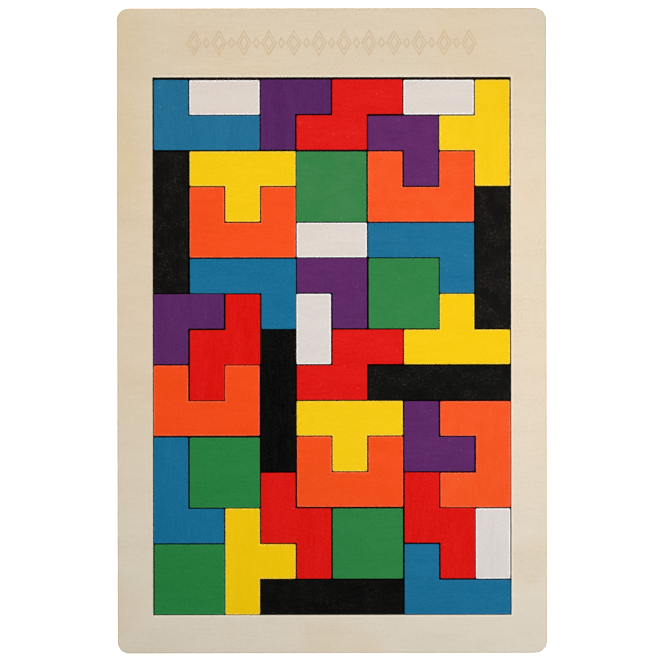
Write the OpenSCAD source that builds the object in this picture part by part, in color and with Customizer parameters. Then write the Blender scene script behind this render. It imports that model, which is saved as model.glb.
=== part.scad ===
// Wooden packing puzzle: forty flat pieces of eight kinds fill a shallow plywood tray.
// The tray lies flat. X runs across it, Y runs along it with the wide margin at +Y, and Z is up.
// The origin is the middle of the underside.

/* [Grid] */
// Side of one cell of the grid that the pieces are cut to
cell = 15; // [12:0.5:20]
// Clearance between two neighbouring pieces
piece_gap = 0.4; // [0.2:0.05:0.8]
// Share of its half of the clearance by which a piece may lie off its cells
wander = 0.8; // [0:0.05:0.9]

/* [Pieces] */
// Thickness of the plywood that the pieces and the tray's frame are cut from
ply_t = 5; // [3:0.5:8]
// Radius of a piece's upright outer corners
piece_corner_r = 0.6; // [0.5:0.1:1.5]
// Bevel along a piece's lower and upper edges
piece_bevel = 0.3; // [0.1:0.05:0.45]

/* [Tray] */
// Thickness of the board under the pieces
base_t = 3; // [2:0.5:6]
// Width of the frame at either side of the window
side_margin = 15; // [8:0.5:30]
// Width of the frame below the window
lower_margin = 16; // [8:0.5:30]
// Width of the frame above the window
upper_margin = 29; // [12:0.5:50]
// Radius of the tray's upright corners
tray_corner_r = 5; // [2:0.5:7]
// Bevel along the tray's outer edges
tray_bevel = 0.5; // [0.2:0.1:1]
// Bevel along the window's upper edge
window_bevel = 0.3; // [0.1:0.1:0.8]

/* [Play] */
// Play of the packed pieces across the window
side_play = 0.4; // [0:0.1:1.5]
// Play of the packed pieces along the window, all of it above them
end_play = 0.8; // [0:0.1:2]

/* [Hidden] */
COLUMNS = 10;
ROWS = 15;

window_w = COLUMNS * cell + side_play;
window_l = ROWS * cell + end_play;
tray_w = window_w + 2 * side_margin;
tray_l = window_l + lower_margin + upper_margin;
tray_t = base_t + ply_t;
window_low_y = lower_margin - tray_l / 2;
grid_low_x = -COLUMNS * cell / 2;
nudge = wander * piece_gap / 2;
// How far a cutting solid runs past the face that it cuts
past = 1;
$fn = 48;

// Where the pieces lie. Each row is one piece: its quarter turns to the left, whether it is turned over,
// the column and the row of its lowest left cell, and the way it has slid, from -1 to 1 across and up.
BLUE_L = [
    [0, false, 0, 13, [0.5, 0]],
    [2, false, 6, 9, [0, -1]],
    [2, false, 1, 8, [1, -1]],
    [3, true, 0, 2, [-1, -0.5]],
    [0, false, 7, 0, [0.5, 0]]
];
WHITE_DOMINO = [
    [0, false, 1, 14, [0, -1]],
    [0, false, 7, 14, [-0.5, -1]],
    [0, false, 4, 10, [0, -0.5]],
    [1, false, 4, 7, [-1, 0.5]],
    [1, false, 9, 1, [0, -0.5]]
];
PURPLE_CORNER = [
    [3, false, 3, 13, [-0.5, 0.5]],
    [2, false, 6, 12, [0, -1]],
    [2, false, 4, 8, [0, 0.5]],
    [3, false, 0, 7, [-0.5, 0.5]],
    [0, false, 7, 4, [0, 0]]
];
RED_STEP = [
    [0, false, 4, 13, [0, 0.5]],
    [1, true, 1, 6, [0.5, -0.5]],
    [0, false, 4, 6, [0, 0.5]],
    [1, false, 3, 1, [-1, 0]],
    [1, false, 7, 1, [1, 0.5]]
];
YELLOW_T = [
    [1, false, 8, 12, [-0.5, -1]],
    [2, false, 1, 11, [0.5, -0.5]],
    [0, false, 7, 7, [0, 0]],
    [2, false, 4, 4, [-0.5, 0.5]],
    [3, false, 2, 0, [-1, 0]]
];
BLACK_BAR = [
    [1, false, 0, 9, [-0.5, -0.5]],
    [1, false, 9, 8, [0, 0]],
    [1, false, 3, 4, [0, 0]],
    [0, false, 6, 6, [0, 0]],
    [0, false, 3, 0, [0, 0]]
];
GREEN_SQUARE = [
    [0, false, 4, 11, [-1, -1]],
    [0, false, 6, 8, [1, 0]],
    [0, false, 1, 3, [-0.5, -1]],
    [0, false, 5, 1, [-0.5, 0]],
    [0, false, 0, 0, [0.5, 0]]
];
ORANGE_U = [
    [0, false, 6, 11, [-0.5, -1]],
    [0, false, 1, 10, [0.5, -0.5]],
    [0, false, 0, 5, [-1, 0.5]],
    [1, false, 8, 3, [1, -0.5]],
    [0, false, 4, 3, [0, 1]]
];

// The bars that make up each kind of piece: column, row, cells across, cells up
L_BARS = [[0, 0, 3, 1], [0, 0, 1, 2]];
DOMINO_BARS = [[0, 0, 2, 1]];
CORNER_BARS = [[0, 0, 2, 1], [0, 0, 1, 2]];
STEP_BARS = [[0, 0, 2, 1], [1, 0, 1, 2], [1, 1, 2, 1]];
T_BARS = [[0, 0, 3, 1], [1, 0, 1, 2]];
STRAIGHT_BARS = [[0, 0, 4, 1]];
SQUARE_BARS = [[0, 0, 2, 2]];
U_BARS = [[0, 0, 3, 1], [0, 0, 1, 2], [2, 0, 1, 2]];

function numbered(kind, rows) = [for (n = [1 : len(rows)]) str(kind, "_", n)];
function cells_across(bars) = max([for (bar = bars) bar[0] + bar[2]]);
function cells_up(bars) = max([for (bar = bars) bar[1] + bar[3]]);

// Upright section of a board, bevelled at all four edges
module bevelled_section(width, thick, bevel) {
    polygon([
        [bevel, 0], [width - bevel, 0], [width, bevel], [width, thick - bevel],
        [width - bevel, thick], [bevel, thick], [0, thick - bevel], [0, bevel]
    ]);
}

// Round post that carries the bevels round a board's upright corner
module corner_post(radius, thick, bevel) {
    rotate_extrude()
        polygon([
            [0, 0], [radius - bevel, 0], [radius, bevel],
            [radius, thick - bevel], [radius - bevel, thick], [0, thick]
        ]);
}

// Board with its lowest corner at the origin, round upright corners and bevelled edges
module board(width, length, thick, radius, bevel) {
    translate([radius, 0, 0])
        rotate([90, 0, 90])
            linear_extrude(width - 2 * radius) bevelled_section(length, thick, bevel);
    translate([0, length - radius, 0])
        rotate([90, 0, 0])
            linear_extrude(length - 2 * radius) bevelled_section(width, thick, bevel);
    for (x = [radius, width - radius], y = [radius, length - radius])
        translate([x, y, 0]) corner_post(radius, thick, bevel);
}

// Cutter for a rectangle's bevelled upper edge: it widens by the bevel up to its top, and on past it
module flared_cut(width, length, bevel) {
    reach = bevel + past;
    intersection() {
        translate([0, length + reach, 0])
            rotate([90, 0, 0])
                linear_extrude(length + 2 * reach)
                    polygon([[0, 0], [width, 0], [width + reach, reach], [-reach, reach]]);
        translate([-reach, 0, 0])
            rotate([90, 0, 90])
                linear_extrude(width + 2 * reach)
                    polygon([[0, 0], [length, 0], [length + reach, reach], [-reach, reach]]);
    }
}

// One flat piece, cut half of the clearance inside its cells
module piece(bars) {
    for (bar = bars)
        translate([bar[0] * cell + piece_gap / 2, bar[1] * cell + piece_gap / 2, 0])
            board(bar[2] * cell - piece_gap, bar[3] * cell - piece_gap, ply_t, piece_corner_r, piece_bevel);
}

// Lays a piece in the tray as its row of the lists above says
module laid(bars, place) {
    across = cells_across(bars) * cell;
    up = cells_up(bars) * cell;
    corner = [[0, 0], [up, 0], [across, up], [0, across]][place[0]];
    translate([grid_low_x + place[2] * cell, window_low_y + place[3] * cell, base_t])
        translate([corner[0] + place[4][0] * nudge, corner[1] + place[4][1] * nudge, 0])
            rotate(90 * place[0])
                translate([place[1] ? across : 0, 0, 0])
                    mirror([place[1] ? 1 : 0, 0, 0])
                        piece(bars);
}

// The two boards are glued, then trimmed and bevelled as one
module tray_outline() {
    translate([-tray_w / 2, -tray_l / 2, 0])
        board(tray_w, tray_l, tray_t, tray_corner_r, tray_bevel);
}

module base_board() {
    color("burlywood")
        difference() {
            tray_outline();
            translate([-tray_w / 2 - past, -tray_l / 2 - past, base_t])
                cube([tray_w + 2 * past, tray_l + 2 * past, ply_t + past]);
        }
}

module tray_frame() {
    color("wheat")
        difference() {
            tray_outline();
            translate([-tray_w / 2 - past, -tray_l / 2 - past, -past])
                cube([tray_w + 2 * past, tray_l + 2 * past, base_t + past]);
            translate([-window_w / 2, window_low_y, 0])
                cube([window_w, window_l, tray_t + past]);
            translate([-window_w / 2, window_low_y, tray_t - window_bevel])
                flared_cut(window_w, window_l, window_bevel);
        }
}

module blue_l(place) {
    color([0.12, 0.44, 0.59]) laid(L_BARS, place);
}

module white_domino(place) {
    color([0.87, 0.83, 0.81]) laid(DOMINO_BARS, place);
}

module purple_corner(place) {
    color([0.37, 0.16, 0.4]) laid(CORNER_BARS, place);
}

module red_step(place) {
    color([0.87, 0.1, 0.09]) laid(STEP_BARS, place);
}

module yellow_t(place) {
    color([0.95, 0.78, 0.07]) laid(T_BARS, place);
}

module black_bar(place) {
    color([0.08, 0.07, 0.07]) laid(STRAIGHT_BARS, place);
}

module green_square(place) {
    color([0.19, 0.5, 0.26]) laid(SQUARE_BARS, place);
}

module orange_u(place) {
    color([0.96, 0.32, 0.13]) laid(U_BARS, place);
}

base_board();
tray_frame();
for (n = [0 : 4]) {
    blue_l(BLUE_L[n]);
    white_domino(WHITE_DOMINO[n]);
    purple_corner(PURPLE_CORNER[n]);
    red_step(RED_STEP[n]);
    yellow_t(YELLOW_T[n]);
    black_bar(BLACK_BAR[n]);
    green_square(GREEN_SQUARE[n]);
    orange_u(ORANGE_U[n]);
}
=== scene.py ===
# %% [markdown]
# # A packing puzzle in its plywood tray
#
# The real thing is a shallow tray of two glued boards. Forty flat blocks of eight shapes, each shape dyed
# its own colour, fill its window edge to edge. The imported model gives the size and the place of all 42
# pieces. This lesson builds what a camera sees on them: rounded arrises, dyed wood with its fibres, cut
# edges that show the veneers, and a band of carved lozenges.
#
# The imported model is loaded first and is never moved. Its box is kept, to compare with the finished one.

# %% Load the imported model
import math
import random

import bmesh
import bpy
from mathutils import Matrix, Vector


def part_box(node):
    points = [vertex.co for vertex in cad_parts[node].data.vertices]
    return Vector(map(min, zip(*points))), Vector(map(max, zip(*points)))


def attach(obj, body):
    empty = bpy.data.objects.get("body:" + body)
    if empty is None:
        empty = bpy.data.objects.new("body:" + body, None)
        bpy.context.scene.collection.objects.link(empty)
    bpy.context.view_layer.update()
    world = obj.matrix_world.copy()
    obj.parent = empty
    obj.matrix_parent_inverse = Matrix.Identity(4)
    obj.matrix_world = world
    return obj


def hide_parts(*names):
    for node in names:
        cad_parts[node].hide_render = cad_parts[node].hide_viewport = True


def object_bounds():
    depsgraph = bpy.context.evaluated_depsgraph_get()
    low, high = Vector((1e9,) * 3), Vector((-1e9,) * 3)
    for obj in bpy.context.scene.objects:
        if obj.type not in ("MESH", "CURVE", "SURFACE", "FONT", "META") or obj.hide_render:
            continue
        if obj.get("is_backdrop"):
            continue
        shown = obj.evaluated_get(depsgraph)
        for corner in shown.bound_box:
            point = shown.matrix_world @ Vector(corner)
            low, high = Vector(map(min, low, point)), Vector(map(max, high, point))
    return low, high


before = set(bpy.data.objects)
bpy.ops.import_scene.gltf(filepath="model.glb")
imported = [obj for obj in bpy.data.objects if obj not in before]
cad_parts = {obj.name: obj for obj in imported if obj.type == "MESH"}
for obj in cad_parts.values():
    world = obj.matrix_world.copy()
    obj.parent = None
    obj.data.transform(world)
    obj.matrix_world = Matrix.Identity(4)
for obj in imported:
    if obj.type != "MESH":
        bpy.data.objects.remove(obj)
CAD_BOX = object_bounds()
MM = 0.001
scene = bpy.context.scene
print("nodes in the packed model:", len(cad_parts))

# %% [markdown]
# ## Camera
#
# The picture is taken straight down on a tray that lies flat, from so far away that its sides don't show.
# A long lens does that. Its distance follows from how many pixels of the picture cover a millimetre of the
# tray's top, so no framing is done by eye.

# %% Camera
PICTURE_PX = 658
PX_PER_MM = 2.3825
TRAY_MIDDLE_PX = Vector((331.95, 330.6))
LENS_MM = 150
SENSOR_MM = 36
TRAY_LEAN_DEG = 0.09

top_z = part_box("tray_frame")[1].z
view_width = PICTURE_PX / PX_PER_MM * MM
camera_height = view_width * LENS_MM / SENSOR_MM
off_middle = (TRAY_MIDDLE_PX - Vector((PICTURE_PX / 2, PICTURE_PX / 2))) / PX_PER_MM * MM

camera_data = bpy.data.cameras.new("camera")
camera_data.lens = LENS_MM
camera_data.sensor_width = SENSOR_MM
camera_data.dof.use_dof = False
camera = bpy.data.objects.new("camera", camera_data)
camera.location = (-off_middle.x, off_middle.y, top_z + camera_height)
camera.rotation_euler.z = -math.radians(TRAY_LEAN_DEG)
scene.collection.objects.link(camera)
scene.camera = camera
print(f"the camera hangs {camera_height:.3f} m above the tray")

# %% [markdown]
# ## Tools for node trees
#
# The sky and every finish are trees of nodes, and a few short functions keep them readable. `add` puts a
# node in a tree and fills its inputs, each with a value or with another node's output. The others build
# on it.

# %% Tools for node trees
def add(tree, kind, inputs=None, **settings):
    """A new node, with its settings, and its inputs filled with values or linked to outputs."""
    made = tree.nodes.new(kind)
    for name, value in settings.items():
        setattr(made, name, value)
    for socket, value in (inputs or {}).items():
        if isinstance(value, bpy.types.NodeSocket):
            tree.links.new(value, made.inputs[socket])
        else:
            made.inputs[socket].default_value = value
    return made


def calculate(tree, operation, first, second=0.0):
    """Output of a Math node."""
    return add(tree, "ShaderNodeMath", {0: first, 1: second}, operation=operation).outputs[0]


def calculate_vector(tree, operation, first, second=(0, 0, 0)):
    """Output of a Vector Math node."""
    return add(tree, "ShaderNodeVectorMath", {0: first, 1: second}, operation=operation).outputs[0]


def axis(tree, vector, number):
    """One number of a vector: 0 for x, 1 for y and 2 for z."""
    return add(tree, "ShaderNodeSeparateXYZ", {0: vector}).outputs[number]


def ramp(tree, value, start, end, low=0.0, high=1.0):
    """A value that turns smoothly from low to high between start and end."""
    inputs = {"Value": value, "From Min": start, "From Max": end, "To Min": low, "To Max": high}
    return add(tree, "ShaderNodeMapRange", inputs, interpolation_type="SMOOTHSTEP").outputs[0]


def blend_colours(tree, share, first, second):
    """First colour, turning into the second as the share goes from 0 to 1."""
    mixer = add(tree, "ShaderNodeMix", {0: share, 6: first, 7: second}, data_type="RGBA")
    return mixer.outputs[2]


def noise(tree, vector, scale, detail=2.0, roughness=0.5):
    """Smooth noise around one half."""
    inputs = {"Vector": vector, "Scale": scale, "Detail": detail, "Roughness": roughness}
    return add(tree, "ShaderNodeTexNoise", inputs).outputs[0]


# %% [markdown]
# ## Colours and groups
#
# Tones are judged on a screen, but a shader works with linear light, so each tone is turned into that
# first. What several woods have in common is a node group: a small tree with named inputs and outputs that
# is built once and placed in each material with its own values.

# %% Tools for colours and groups
def screen(red, green, blue):
    """Linear colour of a tone that a screen shows with these three numbers from 0 to 255."""
    return (*(((level / 255 + 0.055) / 1.055) ** 2.4 for level in (red, green, blue)), 1)


def start_group(name, takes, gives):
    """An empty shader node group with named inputs, each with its default value, and named outputs."""
    group = bpy.data.node_groups.new(name, "ShaderNodeTree")
    for socket_name, default in takes.items():
        kind = "NodeSocketFloat" if isinstance(default, float) else "NodeSocketVector"
        socket = group.interface.new_socket(socket_name, in_out="INPUT", socket_type=kind)
        socket.default_value = default
    for socket_name in gives:
        group.interface.new_socket(socket_name, in_out="OUTPUT", socket_type="NodeSocketFloat")
    return group, group.nodes.new("NodeGroupInput").outputs


def end_group(group, results):
    """Links the results to the group's outputs."""
    add(group, "NodeGroupOutput", results)
    print("node group:", group.name)
    return group


def use_group(tree, group, inputs):
    """Outputs of a shared node group that is placed in a material's tree."""
    return add(tree, "ShaderNodeGroup", inputs, node_tree=group).outputs


# %% [markdown]
# ## Floor
#
# The tray lies on white card. A card that only reflects would show the tray's shadow, and the picture has
# none, so the card also glows, as a backlit table does.

# %% Floor
FLOOR_SIZE = 6.0
CARD_WHITE = (0.9, 0.9, 0.9, 1)
CARD_ROUGHNESS = 0.9
CARD_SPECULAR = 0.1
CARD_LIGHT = (1, 1, 1, 1)
CARD_GLOW = 0.75


def plain_card():
    """White card that glows a little."""
    card = bpy.data.materials.new("white_card")
    card.use_nodes = True
    shader = card.node_tree.nodes["Principled BSDF"]
    shader.inputs["Base Color"].default_value = CARD_WHITE
    shader.inputs["Roughness"].default_value = CARD_ROUGHNESS
    shader.inputs["Specular IOR Level"].default_value = CARD_SPECULAR
    shader.inputs["Emission Color"].default_value = CARD_LIGHT
    shader.inputs["Emission Strength"].default_value = CARD_GLOW
    return card


def lay_floor():
    """One large square of card under the tray."""
    bm = bmesh.new()
    bmesh.ops.create_grid(bm, x_segments=1, y_segments=1, size=FLOOR_SIZE / 2)
    mesh = bpy.data.meshes.new("floor")
    bm.to_mesh(mesh)
    bm.free()
    mesh.materials.append(plain_card())
    floor = bpy.data.objects.new("floor", mesh)
    scene.collection.objects.link(floor)
    floor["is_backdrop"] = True


lay_floor()
print(f"card of {FLOOR_SIZE:.0f} m under the tray")

# %% [markdown]
# ## Light
#
# Two small softboxes hang close over the tray, as on a copy stand, one to the right and one to the upper
# left of the lens. So the tray is brightest right of its middle and falls off towards its corners. The
# upper left one is the warmer of the two.
#
# A weak sky fills in from all sides. It is dark overhead, where the camera hangs, so hardly any light
# reaches down into the clearances between the blocks, and they come out dark.

# %% Light
SOFTBOX_SIDE = 0.2
# Place in metres, watts and colour of each softbox
SOFTBOXES = {
    "right_softbox": ((0.215, -0.042, 0.396), 0.944, (0.95, 1.0, 1.06)),
    "left_softbox": ((-0.124, 0.16, 0.511), 1.389, (1.06, 1.0, 0.92)),
}
SKY_COLOUR = (0.98, 1.0, 1.02, 1)
SKY_STRENGTH = 0.242
# How high a direction points where the dark part of the sky begins and ends, from 0 at the horizon
# to 1 overhead
DARK_PART = (0.85, 0.97)


def hang_softbox(name, place, watts, colour):
    """A square lamp that is turned to the tray's middle."""
    lamp = bpy.data.lights.new(name, "AREA")
    lamp.size = SOFTBOX_SIDE
    lamp.energy = watts
    lamp.color = colour
    softbox = bpy.data.objects.new(name, lamp)
    softbox.location = place
    softbox.rotation_euler = Vector(place).to_track_quat("Z", "Y").to_euler()
    scene.collection.objects.link(softbox)


def make_sky():
    """Even light from all sides, and a dark patch overhead."""
    sky = bpy.data.worlds.new("sky")
    sky.use_nodes = True
    tree = sky.node_tree
    rise = axis(tree, add(tree, "ShaderNodeTexCoord").outputs["Generated"], 2)
    background = tree.nodes["Background"]
    background.inputs["Color"].default_value = SKY_COLOUR
    tree.links.new(ramp(tree, rise, *DARK_PART, SKY_STRENGTH, 0.0), background.inputs["Strength"])
    return sky


for name, (place, watts, colour) in SOFTBOXES.items():
    hang_softbox(name, place, watts, colour)
scene.world = make_sky()
scene.view_settings.view_transform = "Standard"
print(len(SOFTBOXES), "softboxes and the sky are in place")

# %% [markdown]
# ## Reading the sizes
#
# Nothing is measured twice. The cell of the grid and the clearance between blocks follow from the long and
# the short side of one domino, and the window's edges are the frame's corners nearest to its middle. From
# here on the shapes are worked out in millimetres, as on a cutting list, and scaled when they are done.

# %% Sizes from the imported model
def box_mm(node):
    """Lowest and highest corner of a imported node, in millimetres."""
    low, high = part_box(node)
    return low / MM, high / MM


domino_low, domino_high = box_mm("white_domino_1")
domino_size = domino_high - domino_low
CELL = domino_size.x - domino_size.y
CLEARANCE = CELL - domino_size.y

frame_corners = [vertex.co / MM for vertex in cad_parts["tray_frame"].data.vertices]
WINDOW_HALF_WIDTH = min(abs(corner.x) for corner in frame_corners)
WINDOW_TOP = min(corner.y for corner in frame_corners if corner.y > 0)
WINDOW_BOTTOM = max(corner.y for corner in frame_corners if corner.y < 0)
FRAME_LOW, FRAME_HIGH = box_mm("tray_frame")
print(f"cell {CELL:.2f} mm, clearance {CLEARANCE:.2f} mm")
print(f"window {2 * WINDOW_HALF_WIDTH:.1f} by {WINDOW_TOP - WINDOW_BOTTOM:.1f} mm")

# %% [markdown]
# ## Wood grain
#
# Rotary-cut veneer shows short thin fibres, wider bands where the log was softer, and a fine mottling from
# its pores. All three are noise. For fibres and bands it is stretched along the grain: the coordinates are
# divided by a fibre's length one way and by its width the other two ways. The noise fills space, so the
# fibres run on over an arris onto the cut edge.
#
# Nearly all of a noise lies in the middle half of its range, so a ramp over that half gives it contrast.

# %% Wood grain
MIDDLE_HALF = (0.25, 0.75)
# A band is about nine times as long and wide as a fibre
BAND_SCALE = 0.11


def make_wood_grain():
    """Group that gives fibres, bands and mottling, each from 0 to 1."""
    takes = {"Vector": (0, 0, 0), "Fibre Length": 0.006, "Fibre Width": 0.0007, "Pore Size": 0.0009}
    group, given = start_group("Wood grain", takes, ["Fibres", "Bands", "Mottling"])
    sides = {0: given["Fibre Length"], 1: given["Fibre Width"], 2: given["Fibre Width"]}
    fibre = add(group, "ShaderNodeCombineXYZ", sides).outputs[0]
    along = calculate_vector(group, "DIVIDE", given["Vector"], fibre)
    fibres = noise(group, along, 1.0, detail=3.0, roughness=0.6)
    bands = noise(group, along, BAND_SCALE)
    pores_per_m = calculate(group, "DIVIDE", 1.0, given["Pore Size"])
    pores = noise(group, given["Vector"], pores_per_m, roughness=0.6)
    found = {"Fibres": fibres, "Bands": bands, "Mottling": pores}
    return end_group(group, {name: ramp(group, value, *MIDDLE_HALF) for name, value in found.items()})


WOOD_GRAIN = make_wood_grain()

# %% [markdown]
# ## Specks
#
# Dust, pores that the dye missed and dark flecks are all small spots, few or many. A Voronoi texture gives
# a point in each of its cells, and the distance to it makes a round spot. The cell's random colour says
# whether this cell has a spot at all, and how strong it is.

# %% Specks
FAINTEST_SPECK = 0.15


def make_specks():
    """Group that gives the strength of a speck, and 0 between specks. Size is a share of the spacing."""
    takes = {"Vector": (0, 0, 0), "Spacing": 0.001, "Size": 0.3, "Share": 0.5}
    group, given = start_group("Specks", takes, ["Mask"])
    cells_per_m = calculate(group, "DIVIDE", 1.0, given["Spacing"])
    cells = add(group, "ShaderNodeTexVoronoi", {"Vector": given["Vector"], "Scale": cells_per_m})
    spot = ramp(group, cells.outputs["Distance"], 0.0, given["Size"], 1.0, 0.0)
    draw = add(group, "ShaderNodeSeparateColor", {0: cells.outputs["Color"]})
    chosen = calculate(group, "LESS_THAN", draw.outputs[0], given["Share"])
    strength = ramp(group, draw.outputs[1], 0.0, 1.0, FAINTEST_SPECK, 1.0)
    speck = calculate(group, "MULTIPLY", spot, calculate(group, "MULTIPLY", chosen, strength))
    return end_group(group, {"Mask": speck})


SPECKS = make_specks()

# %% [markdown]
# ## Painted highlight on the arrises
#
# Each block has a paler line round its faces: a painted highlight on its arris. The blocks will carry a
# value named `arris`, which is 1 on the rounded edge and fades to 0 beside it. This group makes that
# line strong in places and weak in others.

# %% Painted highlight on the arrises
PATCH_CONTRAST = (0.35, 0.65)
LEAST_HIGHLIGHT = 0.45
# Value of `arris` from which the painted highlight is full
FULL_HIGHLIGHT_FROM = 0.45


def make_arris_highlight():
    """Group that gives how strong the painted highlight on an arris is, from 0 to 1."""
    takes = {"Vector": (0, 0, 0), "Arris": 0.0, "Patch Size": 0.004}
    group, given = start_group("Arris painted highlight", takes, ["Mask"])
    patches_per_m = calculate(group, "DIVIDE", 1.0, given["Patch Size"])
    patches = noise(group, given["Vector"], patches_per_m, detail=3.0)
    patchy = ramp(group, patches, *PATCH_CONTRAST, LEAST_HIGHLIGHT, 1.0)
    line = ramp(group, given["Arris"], 0.0, FULL_HIGHLIGHT_FROM)
    return end_group(group, {"Mask": calculate(group, "MULTIPLY", patchy, line)})


ARRIS_HIGHLIGHT = make_arris_highlight()

# %% [markdown]
# ## Veneers
#
# Plywood's cut edge shows its veneers: one with its fibres along the edge, the next with its cut ends,
# which drink more dye and look darker, and a thin line of glue between them. They are a millimetre thick
# here, so three make the base board and five make the frame and the blocks. All of them follow from height
# alone, which wavers a little, because no veneer is quite flat.

# %% Veneers
VENEER = 0.001
WAVES_PER_M = 120.0
WAVE_HEIGHT = 0.00015
# Distance from a veneer's middle where the glue begins and is full, in veneers
GLUE_LINE = (0.43, 0.49)


def make_veneers():
    """Group that gives 1 on veneers with cut ends, and how much glue shows."""
    group, given = start_group("Veneers", {"Vector": (0, 0, 0)}, ["End Grain", "Glue"])
    waves = calculate(group, "SUBTRACT", noise(group, given["Vector"], WAVES_PER_M), 0.5)
    raised = calculate(group, "MULTIPLY", waves, WAVE_HEIGHT)
    height = calculate(group, "ADD", axis(group, given["Vector"], 2), raised)
    layer = calculate(group, "DIVIDE", height, VENEER)
    end_grain = calculate(group, "MODULO", calculate(group, "FLOOR", layer), 2.0)
    above_middle = calculate(group, "SUBTRACT", calculate(group, "FRACT", layer), 0.5)
    glue = ramp(group, calculate(group, "ABSOLUTE", above_middle), *GLUE_LINE)
    return end_group(group, {"End Grain": end_grain, "Glue": glue})


VENEERS = make_veneers()

# %% [markdown]
# ## Distance from a rectangle
#
# The frame's wood changes along its borders: the window has a painted highlight along its rim, and the
# outer edge is a little browner. Both borders are rectangles, one with round corners, and the distance to
# such a rectangle is a short sum, negative inside and positive outside.

# %% Distance from a rectangle
def make_border_distance():
    """Group that gives the distance from a rectangle with round corners, seen from above."""
    takes = {"Vector": (0, 0, 0), "Middle": (0, 0, 0), "Half Size": (0, 0, 0), "Corner Radius": 0.0}
    group, given = start_group("Border distance", takes, ["Distance"])
    place = calculate_vector(group, "SUBTRACT", given["Vector"], given["Middle"])
    flat = calculate_vector(group, "MULTIPLY", place, (1, 1, 0))
    radius = given["Corner Radius"]
    corner = add(group, "ShaderNodeCombineXYZ", {0: radius, 1: radius}).outputs[0]
    straight = calculate_vector(group, "SUBTRACT", given["Half Size"], corner)
    beyond = calculate_vector(group, "SUBTRACT", calculate_vector(group, "ABSOLUTE", flat), straight)
    overhang = calculate_vector(group, "MAXIMUM", beyond)
    outside = add(group, "ShaderNodeVectorMath", {0: overhang}, operation="LENGTH").outputs["Value"]
    nearest = calculate(group, "MAXIMUM", axis(group, beyond, 0), axis(group, beyond, 1))
    inside = calculate(group, "MINIMUM", nearest, 0.0)
    total = calculate(group, "ADD", outside, inside)
    return end_group(group, {"Distance": calculate(group, "SUBTRACT", total, radius)})


BORDER_DISTANCE = make_border_distance()

# %% [markdown]
# ## Tools for wood
#
# Every wood of the tray is a Principled shader with a low specular level, because nothing on it is
# varnished. Its fibres always do the same two things: they make the surface smoother here and rougher
# there, and they raise it by a few hundredths of a millimetre.

# %% Tools for wood
FIBRE_BUMP = 0.5
# Power that makes a colour more saturated: its weak channels lose more of their light than its strong ones
SATURATION = 1.2


def start_wood(name, specular):
    """A new material with its tree and its shader."""
    material = bpy.data.materials.new(name)
    material.use_nodes = True
    shader = material.node_tree.nodes["Principled BSDF"]
    shader.inputs["Specular IOR Level"].default_value = specular
    return material, material.node_tree, shader


def finish_wood(tree, shader, colour, fibres, roughness, relief):
    """Links a wood's colour to the shader, and lets its fibres vary the roughness and the relief."""
    tree.links.new(colour, shader.inputs["Base Color"])
    tree.links.new(ramp(tree, fibres, 0.0, 1.0, *roughness), shader.inputs["Roughness"])
    bump = add(tree, "ShaderNodeBump", {"Strength": FIBRE_BUMP, "Distance": relief, "Height": fibres})
    tree.links.new(bump.outputs[0], shader.inputs["Normal"])


def object_place(tree):
    """Place on the object, which is the place in the tray as well."""
    return add(tree, "ShaderNodeTexCoord").outputs["Object"]


def attribute(tree, name, output="Fac"):
    """A value that a piece carries on its vertices."""
    return add(tree, "ShaderNodeAttribute", attribute_name=name).outputs[output]


def steepness(tree):
    """0 on level faces and 1 on upright ones."""
    normal = add(tree, "ShaderNodeNewGeometry").outputs["Normal"]
    return calculate(tree, "SUBTRACT", 1.0, calculate(tree, "ABSOLUTE", axis(tree, normal, 2)))


def shifted(colour, factor, offset=0.0):
    """A colour made darker or lighter, and greyer by an offset in all its channels."""
    return (*(max(channel * factor + offset, 0.0) for channel in colour[:3]), 1)


def painted_shade_tone(colour, kept):
    """A darker, more saturated tone of a colour that keeps a share of its light, painted as shade."""
    return (*(kept * channel ** SATURATION for channel in colour[:3]), 1)


# %% [markdown]
# ## Dyed faces
#
# All eight colours are one recipe with its own values. The dye is even, with a fine mottling and faint
# fibres in it, where a little more or less of the pale wood shows. In patches it lies thin and has a paler
# tone, with specks in it. How thin is a property of each block, kept on it as the attribute `thin_dye`:
# some blocks of a colour were dipped for longer than others.
#
# The pattern doesn't read the object's place but its place in the sheet that the block was cut from, kept
# on each block as the attribute `sheet_place`. So no two blocks show the same wood, and turned blocks have
# turned grain.

# %% Dyed faces
FIBRE_LENGTH = 0.005
# How much of the figure are fibres, bands and mottling
FIBRE_SHARE = 0.25
BAND_SHARE = 0.25
MOTTLING_SHARE = 0.5
FIGURE_CONTRAST = (0.15, 0.85)
PATCHES_PER_M = 150.0
STRONGEST_PATCH = 2.0
# How far the share of thin dye varies from patch to patch, around 1
SHARE_SPREAD = 0.2
# Strength of the specks on a block with the deepest tone
DEEP_SPECKS = 0.2


def even_dye(tree, wood, dye):
    """Dye over the whole face, with its faint grain."""
    fibres = calculate(tree, "MULTIPLY", wood["Fibres"], FIBRE_SHARE)
    bands = calculate(tree, "MULTIPLY", wood["Bands"], BAND_SHARE)
    mottling = calculate(tree, "MULTIPLY", wood["Mottling"], MOTTLING_SHARE)
    lines = calculate(tree, "ADD", fibres, bands)
    figure = ramp(tree, calculate(tree, "ADD", lines, mottling), *FIGURE_CONTRAST)
    # The grey offset in the two tones is dust and painted glints on the grain
    dark = shifted(dye["colour"], 1 - dye["grain"], -dye["dust"])
    light = shifted(dye["colour"], 1 + dye["grain"], dye["dust"])
    return blend_colours(tree, figure, dark, light)


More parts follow.
